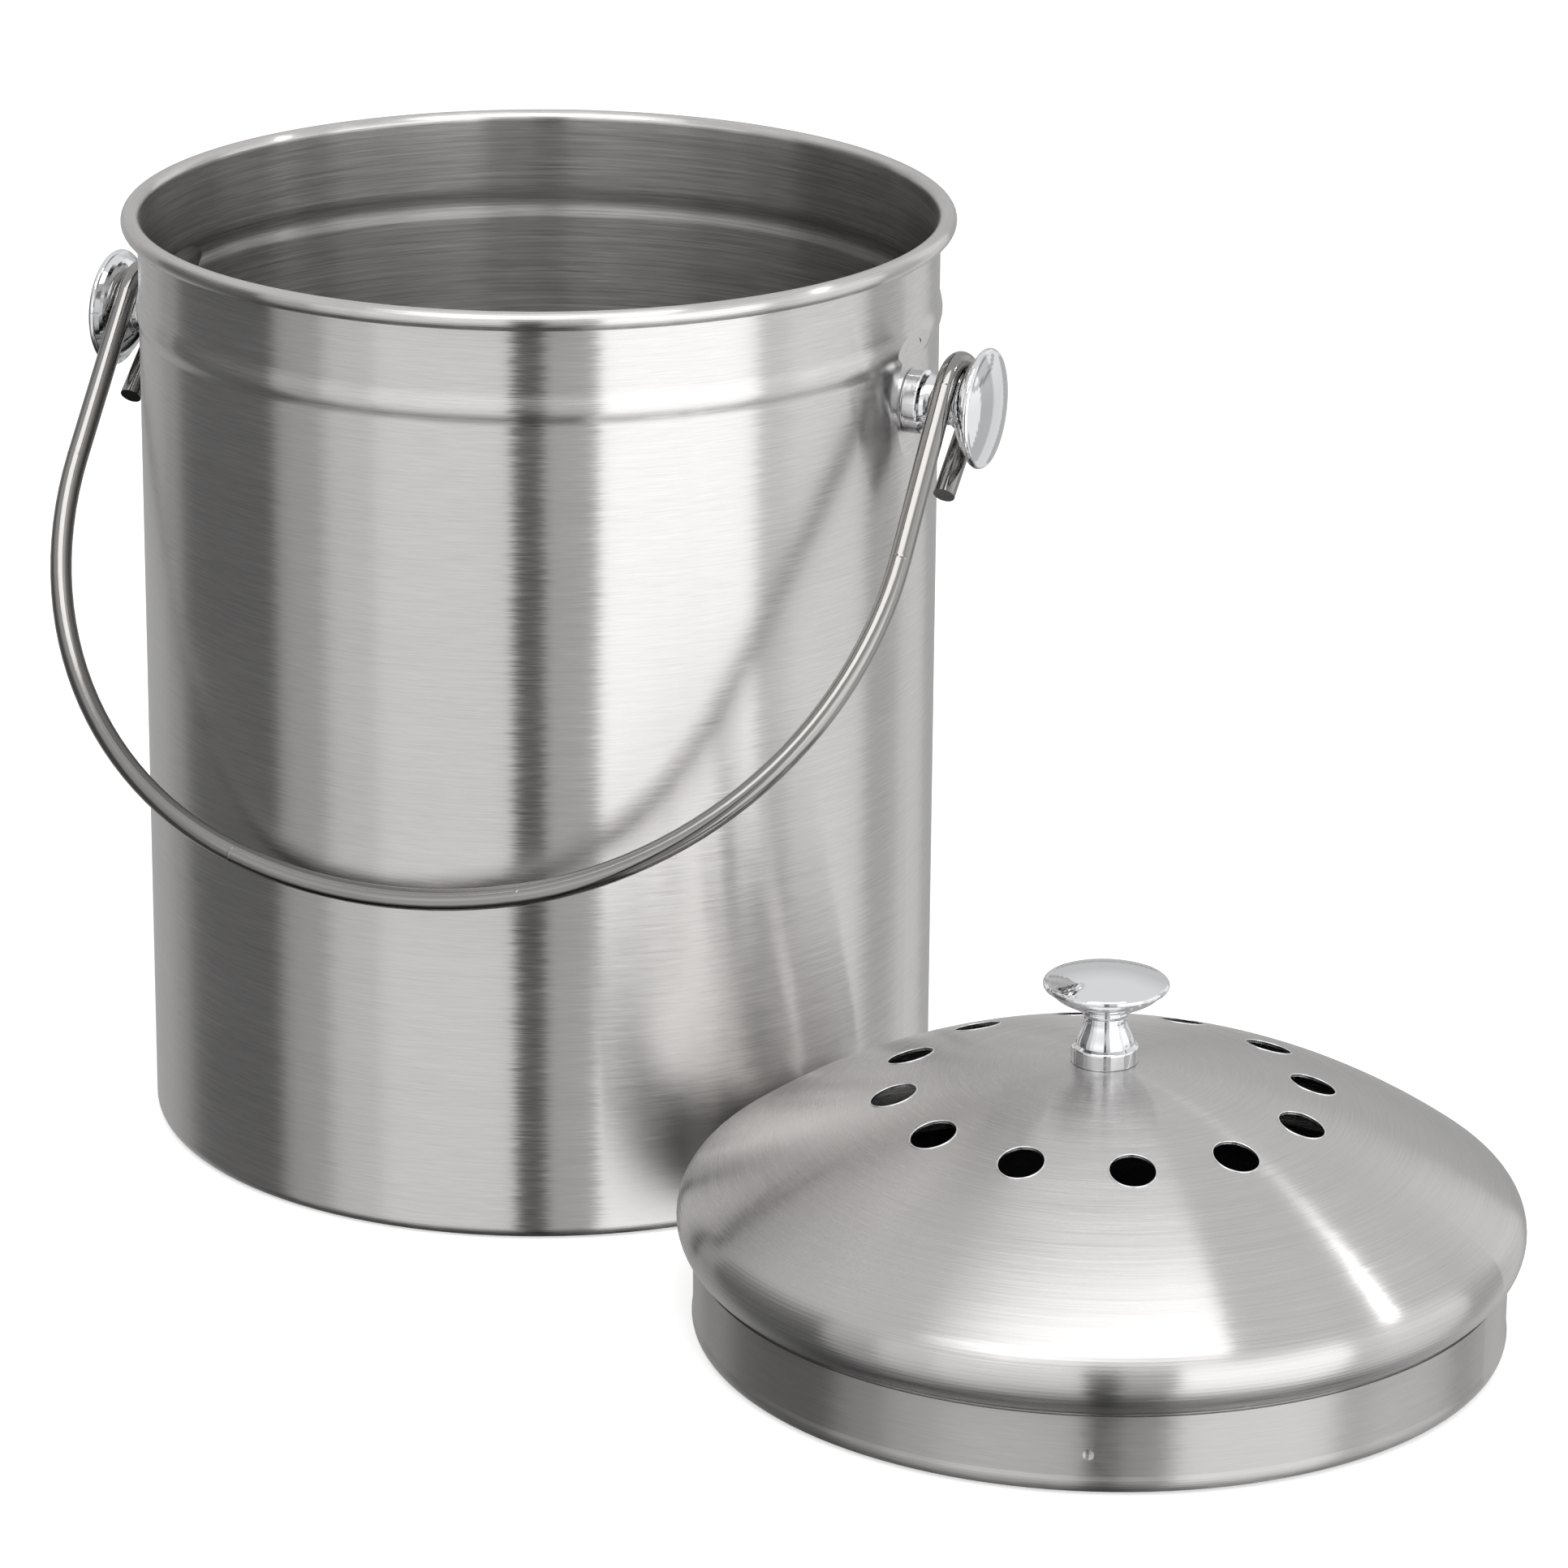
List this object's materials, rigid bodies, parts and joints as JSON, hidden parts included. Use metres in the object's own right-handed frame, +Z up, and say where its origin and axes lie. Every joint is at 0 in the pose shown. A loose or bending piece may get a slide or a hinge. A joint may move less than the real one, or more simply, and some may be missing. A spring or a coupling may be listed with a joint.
{
  "type": "compost caddy with lift-off lid",
  "caption": "Round brushed stainless kitchen compost caddy with a wire bail on two knobs and a loose domed lid, vented over a charcoal filter, lying beside it.",
  "frame": {"origin": "the pail's axis at the plane that it stands on", "axes": "+Z up along the pail's axis, X along the bail's pivots with the lid lying on the +X side, -Y is the front, where the bail hangs"},
  "size_m": [0.374, 0.2672, 0.218],
  "materials": {
    "brushed_steel": "circumferentially brushed stainless steel sheet",
    "chromed_knob": "mirror chrome on a turned knob",
    "polished_wire": "drawn and tumbled stainless steel wire",
    "fastener_steel": "bright zinc plated",
    "charcoal_felt": "needled felt with activated charcoal"
  },
  "bodies": {
    "pail": {"pail_body": "brushed_steel", "left_stud": "chromed_knob", "right_stud": "chromed_knob", "left_stud_screw": "fastener_steel", "right_stud_screw": "fastener_steel", "left_stud_washer": "fastener_steel", "right_stud_washer": "fastener_steel"},
    "bail": {"bail_wire": "polished_wire"},
    "lid": {"lid_dome": "brushed_steel", "lid_skirt": "brushed_steel", "filter_tab_1": "brushed_steel", "filter_tab_2": "brushed_steel", "filter_tab_3": "brushed_steel", "filter_tab_4": "brushed_steel", "charcoal_filter": "charcoal_felt", "lid_knob": "chromed_knob", "lid_knob_screw": "fastener_steel", "lid_knob_washer": "fastener_steel"}
  },
  "joints": [
    {"name": "bail_swing", "type": "hinge", "parent": "pail", "child": "bail", "pos_m": [0, 0, 0.182], "axis": [-1, 0, 0], "range_deg": [0, 273]},
    {"name": "lid_lift", "type": "slide", "parent": "pail", "child": "lid", "axis": [0.5825, -0.2717, 0.766], "range_m": [0, 0.3]}
  ]
}
